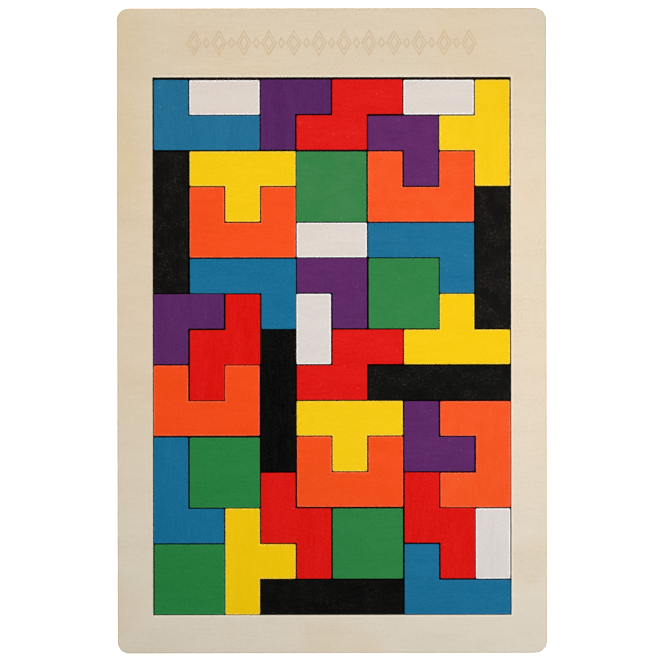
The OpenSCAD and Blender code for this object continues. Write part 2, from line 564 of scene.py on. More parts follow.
def dyed_face(tree, place, wood, dye):
    """Dye that lies thin in patches and has specks there."""
    thinness = attribute(tree, "thin_dye")
    patches = ramp(tree, noise(tree, place, PATCHES_PER_M), *PATCH_CONTRAST, 0.0, STRONGEST_PATCH)
    least = (1 - SHARE_SPREAD) * dye["thin share"]
    most = (1 + SHARE_SPREAD) * dye["thin share"]
    share = ramp(tree, patches, 0.0, STRONGEST_PATCH, least, most)
    thin_here = calculate(tree, "MULTIPLY", share, thinness)
    thinned = blend_colours(tree, thin_here, even_dye(tree, wood, dye), dye["thin tone"])
    speck = use_group(tree, SPECKS, {"Vector": place, **dye["specks"]})["Mask"]
    speckled = calculate(tree, "MULTIPLY", patches, ramp(tree, thinness, 0.0, 1.0, DEEP_SPECKS, 1.0))
    return blend_colours(tree, calculate(tree, "MULTIPLY", speck, speckled), thinned, dye["speck tone"])


# %% [markdown]
# ## Dyed edges
#
# The arris has a painted highlight on its upper half and painted shade on its lower half, darker and more
# saturated, most of all in the dark dyes. The cut edge below it soaks up more dye, so it is darker too,
# and shows the veneers. How steep the surface is tells one from the other.

# %% Dyed edges
# Steepness from which the painted shade on an arris and the cut edge begin, and from which they are full
EDGE_SHADE_PART = (0.03, 0.25)
CUT_PART = (0.7, 0.9)
END_GRAIN_DEPTH = 0.75
GLUE_DEPTH = 0.4
GLUE_SHARE = 0.5
DYED_SPECULAR = 0.03
DYED_ROUGHNESS = (0.68, 0.56)
DYED_RELIEF = 0.00003


def dyed_cut(tree, dye):
    """Dyed veneers and glue on a cut edge."""
    veneers = use_group(tree, VENEERS, {"Vector": object_place(tree)})
    long_grain = shifted(dye["colour"], dye["kept"])
    end_grain = shifted(dye["colour"], END_GRAIN_DEPTH * dye["kept"])
    glue_tone = shifted(dye["colour"], GLUE_DEPTH * dye["kept"])
    layered = blend_colours(tree, veneers["End Grain"], long_grain, end_grain)
    glue = calculate(tree, "MULTIPLY", veneers["Glue"], GLUE_SHARE)
    return blend_colours(tree, glue, layered, glue_tone)


def dyed_wood(dye):
    """Dyed plywood, as a face, an arris or a cut edge."""
    material, tree, shader = start_wood(dye["name"], DYED_SPECULAR)
    place = attribute(tree, "sheet_place", "Vector")
    wood = use_group(tree, WOOD_GRAIN, {"Vector": place, "Fibre Length": FIBRE_LENGTH})
    arris = {"Vector": place, "Arris": attribute(tree, "arris")}
    # Painted highlight: a paler tone along the arris, stronger in some patches than in others
    arris_highlight_share = calculate(tree, "MULTIPLY", use_group(tree, ARRIS_HIGHLIGHT, arris)["Mask"], dye["wear"])
    edged = blend_colours(tree, arris_highlight_share, dyed_face(tree, place, wood, dye), dye["highlight tone"])
    steep = steepness(tree)
    # Painted shade: a darker, more saturated tone on the steep lower half of the arris
    edge_shade_tone = painted_shade_tone(dye["colour"], dye["kept"])
    edge_shaded = blend_colours(tree, ramp(tree, steep, *EDGE_SHADE_PART), edged, edge_shade_tone)
    colour = blend_colours(tree, ramp(tree, steep, *CUT_PART), edge_shaded, dyed_cut(tree, dye))
    finish_wood(tree, shader, colour, wood["Fibres"], DYED_ROUGHNESS, DYED_RELIEF)
    print("material:", dye["name"])
    return material


# %% [markdown]
# ## The eight dyes
#
# Each dye has its tones: the colour itself, the tone of the painted highlight on its arris, the tone of
# thin dye and that of its specks. Its numbers say how much of the thin tone shows, how far apart, how large
# and how common its specks are, how much its grain and a grey of dust and painted glints change the colour,
# how strong the painted highlight on its arrises is, and how much of the colour's light is kept on its cut
# edge and in the painted shade on its arris. White has the strongest painted highlight and shows the most
# of its thin tone, and black, which has no colour to change, shows little but dust, painted glints and
# specks.

# %% The eight dyes
# Grey of dust and painted glints on the grain
DUST_AND_GLINT = 0.003
GREY_HAZE = screen(150, 150, 146)
# Each dye's highlight tone and strength give the painted highlight on its arrises
DYES = {
    "blue_l": {
        "name": "blue_dye", "colour": screen(22, 110, 151), "highlight tone": screen(56, 138, 176),
        "thin tone": GREY_HAZE, "thin share": 0.024, "speck tone": screen(80, 150, 180),
        "specks": {"Spacing": 0.002, "Size": 0.2, "Share": 0.3},
        "grain": 0.07, "dust": DUST_AND_GLINT, "wear": 0.3, "kept": 0.25,
    },
    "white_domino": {
        "name": "white_dye", "colour": screen(220, 212, 208), "highlight tone": screen(255, 255, 255),
        "thin tone": screen(226, 208, 186), "thin share": 0.22, "speck tone": screen(205, 192, 182),
        "specks": {"Spacing": 0.0016, "Size": 0.25, "Share": 0.25},
        "grain": 0.04, "dust": DUST_AND_GLINT, "wear": 2.2, "kept": 0.8,
    },
    "purple_corner": {
        "name": "purple_dye", "colour": screen(87, 37, 98), "highlight tone": screen(112, 60, 122),
        "thin tone": screen(142, 57, 129), "thin share": 0.15, "speck tone": screen(150, 108, 155),
        "specks": {"Spacing": 0.0014, "Size": 0.18, "Share": 0.35},
        "grain": 0.08, "dust": DUST_AND_GLINT, "wear": 0.3, "kept": 0.12,
    },
    "red_step": {
        "name": "red_dye", "colour": screen(222, 18, 13), "highlight tone": screen(236, 62, 48),
        "thin tone": screen(236, 90, 88), "thin share": 0.037, "speck tone": screen(240, 110, 92),
        "specks": {"Spacing": 0.002, "Size": 0.16, "Share": 0.3},
        "grain": 0.045, "dust": DUST_AND_GLINT, "wear": 0.2, "kept": 0.5,
    },
    "yellow_t": {
        "name": "yellow_dye", "colour": screen(244, 200, 0), "highlight tone": screen(255, 226, 96),
        "thin tone": screen(255, 225, 100), "thin share": 0.04, "speck tone": screen(190, 120, 30),
        "specks": {"Spacing": 0.006, "Size": 0.06, "Share": 0.3},
        "grain": 0.025, "dust": DUST_AND_GLINT, "wear": 0.8, "kept": 0.9,
    },
    "black_bar": {
        "name": "black_dye", "colour": screen(0, 0, 0), "highlight tone": screen(22, 21, 18),
        "thin tone": screen(150, 146, 130), "thin share": 0.016, "speck tone": screen(59, 57, 51),
        "specks": {"Spacing": 0.0007, "Size": 0.5, "Share": 0.6},
        "grain": 0.8, "dust": 0.002, "wear": 0.3, "kept": 0.5,
    },
    "green_square": {
        "name": "green_dye", "colour": screen(38, 129, 63), "highlight tone": screen(74, 152, 90),
        "thin tone": GREY_HAZE, "thin share": 0.07, "speck tone": screen(100, 166, 108),
        "specks": {"Spacing": 0.0024, "Size": 0.16, "Share": 0.3},
        "grain": 0.055, "dust": DUST_AND_GLINT, "wear": 0.5, "kept": 0.12,
    },
    "orange_u": {
        "name": "orange_dye", "colour": screen(244, 76, 23), "highlight tone": screen(255, 132, 90),
        "thin tone": screen(247, 184, 115), "thin share": 0.05, "speck tone": screen(255, 140, 100),
        "specks": {"Spacing": 0.003, "Size": 0.12, "Share": 0.2},
        "grain": 0.03, "dust": 0.004, "wear": 0.7, "kept": 0.8,
    },
}
DYED_WOODS = {kind: dyed_wood(dye) for kind, dye in DYES.items()}

# %% [markdown]
# ## Tone of the bare veneer, with painted light
#
# The tray is bare birch plywood, lightly sanded. Its veneer has warm and grey patches all over. Over them
# lies painted light: the wood is painted paler at the right, darker at the top, warmer at the upper left
# and cooler and greyer towards the bottom, as the lamps fall off and differ in colour. A few slow changes
# laid one over another do all that.

# %% Tone of the bare veneer
BEIGE_WOOD = screen(221, 205, 181)
# Painted light: paler at the right, cooler towards the bottom, darker at the top, warmer at the upper left
PAINTED_LIT_WOOD = screen(228, 210, 186)
PAINTED_COOL_LIGHT_WOOD = screen(224, 214, 196)
PAINTED_SHADE_WOOD = screen(213, 198, 173)
PAINTED_WARM_LIGHT_WOOD = screen(218, 198, 166)
WARM_PATCH = screen(222, 198, 164)
GREY_PATCH = screen(212, 204, 184)
# Where each change of tone begins and ends, in metres from the tray's middle
PALE_TO_THE_RIGHT = (-0.06, 0.09)
COOL_TO_THE_BOTTOM = (0.0, -0.12)
SHADE_TO_THE_TOP = (0.05, 0.12)
WARM_TO_THE_LEFT = (-0.074, -0.088)
WARM_TO_THE_TOP = (0.02, 0.06)
TOP_SHADE_SHARE = 0.4
VENEER_PATCHES_PER_M = 26.0
# Values of the patches' noise where each kind begins and is full
WARM_RANGE = (0.52, 0.7)
GREY_RANGE = (0.48, 0.3)
PATCH_SHARE = 0.35


def veneer_tone_and_light(tree, position):
    """Slow changes of colour over the whole board: warm and grey patches of the veneer, and painted light.
    """
    across = axis(tree, position, 0)
    along = axis(tree, position, 1)
    tone = blend_colours(tree, ramp(tree, across, *PALE_TO_THE_RIGHT), BEIGE_WOOD, PAINTED_LIT_WOOD)
    tone = blend_colours(tree, ramp(tree, along, *COOL_TO_THE_BOTTOM), tone, PAINTED_COOL_LIGHT_WOOD)
    margin = ramp(tree, along, *SHADE_TO_THE_TOP, 0.0, TOP_SHADE_SHARE)
    tone = blend_colours(tree, margin, tone, PAINTED_SHADE_WOOD)
    at_left = ramp(tree, across, *WARM_TO_THE_LEFT)
    at_top = ramp(tree, along, *WARM_TO_THE_TOP)
    tone = blend_colours(tree, calculate(tree, "MULTIPLY", at_left, at_top), tone, PAINTED_WARM_LIGHT_WOOD)
    patches = noise(tree, position, VENEER_PATCHES_PER_M)
    tone = blend_colours(tree, ramp(tree, patches, *WARM_RANGE, 0.0, PATCH_SHARE), tone, WARM_PATCH)
    return blend_colours(tree, ramp(tree, patches, *GREY_RANGE, 0.0, PATCH_SHARE), tone, GREY_PATCH)


# %% [markdown]
# ## Bare veneer
#
# Over the slow changes lies the grain, with fine fibres that run across the tray, and a few dark flecks.
# Grain in real wood is darker and lighter than the tone between, so it is mixed in from both sides.

# %% Bare veneer
DARK_GRAIN = screen(196, 178, 150)
PALE_GRAIN = screen(236, 222, 200)
# Values of the figure, around 1, where dark and pale grain begin and are full
DARK_RANGE = (1.0, 0.3)
PALE_RANGE = (1.0, 1.7)
GRAIN_SHARE = 0.22
FLECK = screen(150, 114, 76)
FLECKS = {"Spacing": 0.02, "Size": 0.025, "Share": 0.2}


def bare_veneer(tree, position):
    """Colour and fibres of a bare veneer whose grain runs across the tray."""
    wood = use_group(tree, WOOD_GRAIN, {"Vector": position})
    lengthways = calculate(tree, "ADD", wood["Bands"], wood["Fibres"])
    figure = calculate(tree, "ADD", calculate(tree, "MULTIPLY", lengthways, 0.5), wood["Mottling"])
    darker = ramp(tree, figure, *DARK_RANGE, 0.0, GRAIN_SHARE)
    lighter = ramp(tree, figure, *PALE_RANGE, 0.0, GRAIN_SHARE)
    streaked = blend_colours(tree, darker, veneer_tone_and_light(tree, position), DARK_GRAIN)
    grained = blend_colours(tree, lighter, streaked, PALE_GRAIN)
    fleck = use_group(tree, SPECKS, {"Vector": position, **FLECKS})["Mask"]
    return blend_colours(tree, fleck, grained, FLECK), wood["Fibres"]


# %% [markdown]
# ## Face of the frame
#
# The window's rim has a painted highlight, paler than the face, less so at the left, and the outer edge
# is a little browner. Painting such lines on the mesh would need many small faces. The distance from the
# border gives them at any width.

# %% Face of the frame
TRAY_CORNER_RADIUS = 5.0
BARE_SPECULAR = 0.25
BARE_RELIEF = 0.00004
FACE_ROUGHNESS = (0.67, 0.53)
# Painted highlight along the window's rim
RIM_HIGHLIGHT = screen(244, 236, 216)
EDGE_WOOD = screen(206, 176, 138)
# Distances in metres from the window and from the outer edge, negative inside
RIM_PART = (0.0004, 0.001)
EDGE_PART = (-0.0008, 0.0)
EDGE_SHARE = 0.6
# How much of the rim's painted highlight shows at the left end of the window and past it
RIM_SHARES = (0.15, 0.7)
LEFT_END_WIDTH = 0.001


def border(tree, position, low, high, radius):
    """Distance from the rectangle between two corners, which are given in millimetres."""
    middle = (low + high) / 2 * MM
    half = (high - low) / 2 * MM
    inputs = {"Vector": position, "Middle": (middle.x, middle.y, 0), "Half Size": (half.x, half.y, 0)}
    return use_group(tree, BORDER_DISTANCE, {**inputs, "Corner Radius": radius * MM})["Distance"]


def frame_wood():
    """Face of the frame, with a painted highlight on its window rim and its browner outer edge."""
    material, tree, shader = start_wood("frame_face", BARE_SPECULAR)
    position = object_place(tree)
    colour, fibres = bare_veneer(tree, position)
    window_low = Vector((-WINDOW_HALF_WIDTH, WINDOW_BOTTOM, 0))
    window_high = Vector((WINDOW_HALF_WIDTH, WINDOW_TOP, 0))
    # Painted highlight along the window's rim, weaker at the left
    rim_highlight_share = ramp(tree, border(tree, position, window_low, window_high, 0.0), *RIM_PART, 1.0, 0.0)
    left_end = -WINDOW_HALF_WIDTH * MM
    less_at_left = ramp(tree, axis(tree, position, 0), left_end, left_end + LEFT_END_WIDTH, *RIM_SHARES)
    highlighted_rim = blend_colours(tree, calculate(tree, "MULTIPLY", rim_highlight_share, less_at_left), colour, RIM_HIGHLIGHT)
    from_edge = border(tree, position, FRAME_LOW, FRAME_HIGH, TRAY_CORNER_RADIUS)
    edged = blend_colours(tree, ramp(tree, from_edge, *EDGE_PART, 0.0, EDGE_SHARE), highlighted_rim, EDGE_WOOD)
    finish_wood(tree, shader, edged, fibres, FACE_ROUGHNESS, BARE_RELIEF)
    return material


FRAME_WOOD = frame_wood()
print("material:", FRAME_WOOD.name)

# %% [markdown]
# ## Base board and cut edges
#
# The base board is bare below. Its upper side shows only as a thin line between blocks, and that line is
# dark, so this side is painted dark, as painted shade in the clearances. The cut edges of both boards show
# their veneers, brown on the outside, which was sanded, and much darker in the window, as a laser leaves
# them. A carved line is pale, because no laser burnt it.

# %% Base board and cut edges
UNDERSIDE_ROUGHNESS = (0.72, 0.58)
# Painted shade: dark tones of the base board's upper side, which shows only in the clearances
BOARD_SHADE = screen(58, 26, 14)
DEEP_BOARD_SHADE = screen(36, 16, 9)
SHADED_TOP_SPECULAR = 0.05
SHADED_TOP_ROUGHNESS = (0.87, 0.73)
CUT_FIBRES = {"Fibre Length": 0.004, "Fibre Width": 0.0003}
CUT_SPECULAR = 0.15
CUT_ROUGHNESS = (0.82, 0.68)
CUT_GLUE_SHARE = 0.7
CUT_FIBRE_SHARE = 0.35


def board_wood():
    """Underside of the base board, left bare."""
    material, tree, shader = start_wood("board_face", BARE_SPECULAR)
    colour, fibres = bare_veneer(tree, object_place(tree))
    finish_wood(tree, shader, colour, fibres, UNDERSIDE_ROUGHNESS, BARE_RELIEF)
    return material


def board_painted_shade():
    """Upper side of the base board, painted dark as shade in the clearances."""
    material, tree, shader = start_wood("board_painted_shade", SHADED_TOP_SPECULAR)
    fibres = use_group(tree, WOOD_GRAIN, {"Vector": object_place(tree)})["Fibres"]
    shaded_board = blend_colours(tree, fibres, BOARD_SHADE, DEEP_BOARD_SHADE)
    finish_wood(tree, shader, shaded_board, fibres, SHADED_TOP_ROUGHNESS, BARE_RELIEF)
    return material


def cut_edge(name, long_grain, end_grain, glue):
    """Cut edge of a board, with its veneers."""
    material, tree, shader = start_wood(name, CUT_SPECULAR)
    position = object_place(tree)
    fibres = use_group(tree, WOOD_GRAIN, {"Vector": position, **CUT_FIBRES})["Fibres"]
    veneers = use_group(tree, VENEERS, {"Vector": position})
    layered = blend_colours(tree, veneers["End Grain"], long_grain, end_grain)
    glue_line = calculate(tree, "MULTIPLY", veneers["Glue"], CUT_GLUE_SHARE)
    lined = blend_colours(tree, glue_line, layered, glue)
    streaked = blend_colours(tree, calculate(tree, "MULTIPLY", fibres, CUT_FIBRE_SHARE), lined, glue)
    finish_wood(tree, shader, streaked, fibres, CUT_ROUGHNESS, BARE_RELIEF)
    return material


BOARD_WOOD = board_wood()
BOARD_SHADED_TOP = board_painted_shade()
OUTER_CUT = cut_edge("outer_cut", screen(206, 178, 138), screen(170, 130, 88), screen(120, 82, 50))
WINDOW_CUT = cut_edge("window_cut", screen(120, 84, 52), screen(84, 56, 34), screen(46, 30, 20))
CARVED_LINE = cut_edge("carved_line", screen(214, 190, 158), screen(214, 190, 158), screen(200, 170, 136))
bare_woods = [BOARD_WOOD, BOARD_SHADED_TOP, OUTER_CUT, WINDOW_CUT, CARVED_LINE]
print("materials:", ", ".join(wood.name for wood in bare_woods))

# %% [markdown]
# ## Tools for shapes
#
# Each board and block starts as a flat face, gets its thickness, and then has its edges rounded, in the
# order in which a shop would do it. The helpers pick edges by what lies beside them, so they don't depend
# on the order in which an operator leaves its results.

# %% Tools for shapes
# Lengths in millimetres that differ by less than this are the same
TOUCH = 0.001
# Upward part of a unit normal, above which a face is level, and below which it is upright
LEVEL = 0.999
UPRIGHT = 0.001
# Radians by which the surface turns outwards at a corner, at least
CORNER_TURN = 1.0


def flat_sheet(width, length, middle, across=1, up=1):
    """A flat sheet of cells with its middle at a place."""
    bm = bmesh.new()
    bmesh.ops.create_grid(bm, x_segments=across, y_segments=up, size=0.5)
    bmesh.ops.scale(bm, vec=(width, length, 1), verts=bm.verts)
    bmesh.ops.translate(bm, vec=middle, verts=bm.verts)
    return bm


def thicken(bm, thickness):
    """Gives a flat shape its thickness, upwards."""
    grown = bmesh.ops.extrude_face_region(bm, geom=bm.faces[:])["geom"]
    raised = [part for part in grown if isinstance(part, bmesh.types.BMVert)]
    bmesh.ops.translate(bm, vec=(0, 0, thickness), verts=raised)
    bmesh.ops.recalc_face_normals(bm, faces=bm.faces[:])


def round_edges(bm, edges, radius, segments):
    """Rounds edges off to a radius."""
    bmesh.ops.bevel(bm, geom=edges, offset=radius, segments=segments, profile=0.5,
                    affect="EDGES", material=-1, clamp_overlap=True)


def is_level(face):
    """Whether a face lies flat."""
    return abs(face.normal.z) > LEVEL


def is_upright(face):
    """Whether a face stands upright."""
    return abs(face.normal.z) < UPRIGHT


def upright_corners(bm):
    """Upright edges whose corner points outwards."""
    upright = [edge for edge in bm.edges if all(is_upright(face) for face in edge.link_faces)]
    return [edge for edge in upright if edge.calc_face_angle_signed() > CORNER_TURN]


def rim_edges(bm, height):
    """Edges at a height with an upright face beside them."""
    at_height = [edge for edge in bm.edges if all(abs(end.co.z - height) < TOUCH for end in edge.verts)]
    return [edge for edge in at_height if any(is_upright(face) for face in edge.link_faces)]


# %% [markdown]
# ## Finishing a piece
#
# Every shape ends the same way: it is scaled to metres, becomes a mesh with its materials, rides on the
# one body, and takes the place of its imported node.
#
# Faces are shaded smooth, so a rounded edge of a few faces looks round. An edge that turns further than
# such a face does is marked sharp, or the shading would run round it and darken a flat side.

# %% Finishing a piece
SHARP_ANGLE = math.radians(40)


def finish_piece(bm, name, node, materials):
    """Makes a mesh of a shape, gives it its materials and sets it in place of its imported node."""
    bmesh.ops.scale(bm, vec=(MM, MM, MM), verts=bm.verts)
    for face in bm.faces:
        face.smooth = True
    for edge in bm.edges:
        edge.smooth = edge.calc_face_angle() < SHARP_ANGLE
    mesh = bpy.data.meshes.new(name)
    bm.to_mesh(mesh)
    bm.free()
    for material in materials:
        mesh.materials.append(material)
    piece = bpy.data.objects.new(name, mesh)
    scene.collection.objects.link(piece)
    evener = piece.modifiers.new("even_faces", "WEIGHTED_NORMAL")
    evener.keep_sharp = True
    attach(piece, "root")
    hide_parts(node)
    return piece


# %% [markdown]
# ## Blocks
#
# A block is a few square cells in one piece, cut half a clearance inside their outline. The shapes are
# drawn below as text. A grid is made, the cells that the drawing leaves out are deleted, and the rest are
# dissolved into one face. That needs no list of points, and the outline comes out right for every shape.

# %% Shapes of the blocks
SHAPES = {
    "blue_l": ["#  ", "###"],
    "white_domino": ["##"],
    "purple_corner": ["# ", "##"],
    "red_step": [" ##", "## "],
    "yellow_t": [" # ", "###"],
    "black_bar": ["####"],
    "green_square": ["##", "##"],
    "orange_u": ["# #", "###"],
}
FLAT_ANGLE = math.radians(1)


def flat_shape(drawing):
    """A drawn shape as one flat face round the origin, half a clearance inside its cells."""
    across = len(drawing[0])
    up = len(drawing)
    bm = flat_sheet(across * CELL, up * CELL, (0, 0, 0), across, up)
    empty = []
    for face in bm.faces:
        middle = face.calc_center_median()
        column = int(middle.x / CELL + across / 2)
        row = int(up / 2 - middle.y / CELL)
        if drawing[row][column] == " ":
            empty.append(face)
    bmesh.ops.delete(bm, geom=empty, context="FACES")
    bmesh.ops.dissolve_limit(bm, angle_limit=FLAT_ANGLE, verts=bm.verts[:], edges=bm.edges[:])
    margin = bmesh.ops.inset_region(bm, faces=bm.faces[:], thickness=CLEARANCE / 2,
                                    use_boundary=True, use_even_offset=True)["faces"]
    bmesh.ops.delete(bm, geom=margin, context="FACES")
    return bm


cells = {kind: "".join(drawing).count("#") for kind, drawing in SHAPES.items()}
print("cells in each shape:", cells)

# %% [markdown]
# ## Rounded blocks
#
# The real blocks were tumbled or sanded, so their upright corners are round to about half a millimetre and
# all other edges are softer still. A narrow band is inset along the edges of each face to carry the
# `arris` value down to 0, so the painted highlight line keeps its width all the way round. The band has
# to be narrower than the 0.3 mm that are left of the corner radius there, or the inset would cross itself.

# %% Rounded blocks
BLOCK_CORNER_RADIUS = 0.6
BLOCK_EDGE_RADIUS = 0.3
ARRIS_BAND = 0.27


def band_faces(bm, low, high):
    """Insets a narrow band on each level face and marks how near the arris each vertex is."""
    level = [face for face in bm.faces if is_level(face)]
    bmesh.ops.inset_individual(bm, faces=level, thickness=ARRIS_BAND, use_even_offset=True)
    fade = BLOCK_EDGE_RADIUS + ARRIS_BAND
    for height in (low + fade, high - fade):
        bmesh.ops.bisect_plane(bm, geom=[*bm.verts, *bm.edges, *bm.faces],
                               plane_co=(0, 0, height), plane_no=(0, 0, 1), dist=TOUCH)
    arris = bm.verts.layers.float.new("arris")
    for vertex in bm.verts:
        between = low + fade - TOUCH < vertex.co.z < high - fade + TOUCH
        vertex[arris] = 0.0 if between else 1.0
    for face in level:
        for vertex in face.verts:
            vertex[arris] = 0.0


def rounded_block(drawing, low, high):
    """A drawn shape at its thickness, with all its edges rounded."""
    bm = flat_shape(drawing)
    bmesh.ops.translate(bm, vec=(0, 0, low), verts=bm.verts)
    thicken(bm, high - low)
    round_edges(bm, upright_corners(bm), BLOCK_CORNER_RADIUS, segments=4)
    round_edges(bm, rim_edges(bm, low) + rim_edges(bm, high), BLOCK_EDGE_RADIUS, segments=3)
    band_faces(bm, low, high)
    return bm


# %% [markdown]
# ## How each block lies
#
# The way the blocks lie is part of the puzzle: each has its quarter turns to the left, and two are turned
# over. A block's grain runs along its drawing, apart from two that were cut the other way. The last list
# says how the dye took on each block, in four steps from a deep tone to a thin one.

# %% How each block lies
QUARTER_TURNS = {
    "blue_l": [0, 2, 2, 3, 0],
    "white_domino": [0, 0, 0, 1, 1],
    "purple_corner": [3, 2, 2, 3, 0],
    "red_step": [0, 1, 0, 1, 1],
    "yellow_t": [1, 2, 0, 2, 3],
    "black_bar": [1, 1, 1, 0, 0],
    "green_square": [0, 0, 0, 0, 0],
    "orange_u": [0, 0, 0, 1, 0],
}
TURNED_OVER = {"blue_l_4", "red_step_2"}
CUT_ACROSS = {"blue_l_1", "white_domino_4"}
DEEP = 0.0
FULL = 0.3
LIGHT = 0.6
THIN = 1.0
THIN_DYE = {
    "blue_l": [THIN, LIGHT, DEEP, DEEP, FULL],
    "white_domino": [THIN, LIGHT, LIGHT, DEEP, DEEP],
    "purple_corner": [DEEP, THIN, LIGHT, FULL, LIGHT],
    "red_step": [THIN, DEEP, LIGHT, FULL, FULL],
    "yellow_t": [THIN, FULL, FULL, LIGHT, DEEP],
    "black_bar": [LIGHT, THIN, DEEP, LIGHT, FULL],
    "green_square": [THIN, LIGHT, DEEP, FULL, DEEP],
    "orange_u": [THIN, FULL, DEEP, THIN, FULL],
}
print(sum(len(turns) for turns in QUARTER_TURNS.values()), "blocks of", len(SHAPES), "shapes")

# %% [markdown]
# ## Laying the blocks
#
# A block is made round the origin, turned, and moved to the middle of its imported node, so no place is
# written down here. Its grain turns with it, because each vertex keeps the place in the sheet that it was
# cut from. That place is drawn at random, from a fixed seed, so every run gives the same wood.

# %% Laying the blocks
SHEET_SIZE = 1.2
SHEET_SEED = 11
chance = random.Random(SHEET_SEED)


def keep_sheet_place(mesh, node, turns, middle):
    """Keeps each vertex's place in the sheet that the block was cut from, for the grain."""
    crossed = 1 if node in CUT_ACROSS else 0
    unturned = Matrix.Rotation(-math.pi / 2 * (turns + crossed), 3, "Z")
    corner = Vector((chance.uniform(0, SHEET_SIZE), chance.uniform(0, SHEET_SIZE), 0))
    places = mesh.attributes.new("sheet_place", "FLOAT_VECTOR", "POINT")
    for vertex, place in zip(mesh.vertices, places.data):
        place.vector = unturned @ (vertex.co - middle * MM) + corner


def keep_thinness(mesh, thinness):
    """Keeps how thin the dye lies on a block, the same at all its vertices."""
    values = mesh.attributes.new("thin_dye", "FLOAT", "POINT")
    for value in values.data:
        value.value = thinness


def lay_block(kind, number, turns):
    """Makes one block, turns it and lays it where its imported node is."""
    node = f"{kind}_{number}"
    low, high = box_mm(node)
    drawing = SHAPES[kind]
    if node in TURNED_OVER:
        drawing = [row[::-1] for row in drawing]
    bm = rounded_block(drawing, low.z, high.z)
    turn = Matrix.Rotation(math.pi / 2 * turns, 3, "Z")
    bmesh.ops.rotate(bm, cent=(0, 0, 0), matrix=turn, verts=bm.verts)
    middle = Vector(((low.x + high.x) / 2, (low.y + high.y) / 2, 0))
    bmesh.ops.translate(bm, vec=middle, verts=bm.verts)
    piece = finish_piece(bm, f"{node}_block", node, [DYED_WOODS[kind]])
    keep_sheet_place(piece.data, node, turns, middle)
    keep_thinness(piece.data, THIN_DYE[kind][number - 1])
    return piece


blocks = [lay_block(kind, number, turns)
          for kind, all_turns in QUARTER_TURNS.items()
          for number, turns in enumerate(all_turns, 1)]
print(len(blocks), "blocks,", sum(len(block.data.polygons) for block in blocks), "faces")

# %% [markdown]
# ## Frame board
#
# The frame is one board with a window. It is made as a sheet that is cut along the window's four lines,
# has its middle face removed and is then thickened. The tray's corners were rounded after gluing, so only
# the outer corners are round, and the window's are square.

# %% Frame board
TRAY_EDGE_RADIUS = 0.5
WINDOW_EDGE_RADIUS = 0.3
# An edge whose middle is at most this far outside the window belongs to it
WINDOW_REACH = 1.0


def cut_faces(bm, faces, place, normal):
    """Cuts faces along a plane and leaves their neighbours whole."""
    edges = {edge for face in faces for edge in face.edges}
    verts = {vertex for face in faces for vertex in face.verts}
    bmesh.ops.bisect_plane(bm, geom=[*faces, *edges, *verts], plane_co=place, plane_no=normal, dist=TOUCH)


def in_window(place, reach=0.0):
    """Whether a place lies in the window, or at most a reach outside it."""
    beside = abs(place.x) < WINDOW_HALF_WIDTH + reach
    return beside and WINDOW_BOTTOM - reach < place.y < WINDOW_TOP + reach


def on_window(edge):
    """Whether an edge lies on the window and not on the tray's outline."""
    return in_window((edge.verts[0].co + edge.verts[1].co) / 2, WINDOW_REACH)


def frame_board():
    """The frame with its window and its rounded edges."""
    size = FRAME_HIGH - FRAME_LOW
    middle = (FRAME_LOW + FRAME_HIGH) / 2
    bm = flat_sheet(size.x, size.y, (middle.x, middle.y, FRAME_LOW.z))
    for side in (-WINDOW_HALF_WIDTH, WINDOW_HALF_WIDTH):
        cut_faces(bm, bm.faces[:], (side, 0, 0), (1, 0, 0))
    for end in (WINDOW_BOTTOM, WINDOW_TOP):
        cut_faces(bm, bm.faces[:], (0, end, 0), (0, 1, 0))
    opening = [face for face in bm.faces if in_window(face.calc_center_median())]
    bmesh.ops.delete(bm, geom=opening, context="FACES")
    thicken(bm, size.z)
    round_edges(bm, upright_corners(bm), TRAY_CORNER_RADIUS, segments=12)
    outline = [edge for edge in rim_edges(bm, FRAME_HIGH.z) if not on_window(edge)]
    round_edges(bm, outline, TRAY_EDGE_RADIUS, segments=4)
    window_rim = [edge for edge in rim_edges(bm, FRAME_HIGH.z) if on_window(edge)]
    round_edges(bm, window_rim, WINDOW_EDGE_RADIUS, segments=3)
    return bm


frame_bm = frame_board()
print("frame before carving:", len(frame_bm.faces), "faces")

# %% [markdown]
# ## Lozenges
#
# The wide margin carries a plain band of carved lozenges, large and small in turn, drawn in thin lines. It
# could be a bump in the material, but a real groove catches the light from every side. So each lozenge is
# drawn in the face of the board: four slanting cuts from middle to middle of a cell's sides leave the
# lozenge, and insets draw its lines.

# %% Lozenges
BAND_MIDDLE_Y = 120.8
LINE_WIDTH = 0.4
# Half the width and half the height that is looked at to find a lozenge in its cell
LOZENGE_MIDDLE = 0.01


def faces_between(bm, low_x, high_x, low_y, high_y):
    """Top faces whose middle lies between two corners."""
    found = []
    for face in bm.faces:
        middle = face.calc_center_bounds()
        on_top = is_level(face) and abs(middle.z - FRAME_HIGH.z) < TOUCH
        if on_top and low_x < middle.x < high_x and low_y < middle.y < high_y:
            found.append(face)
    return found


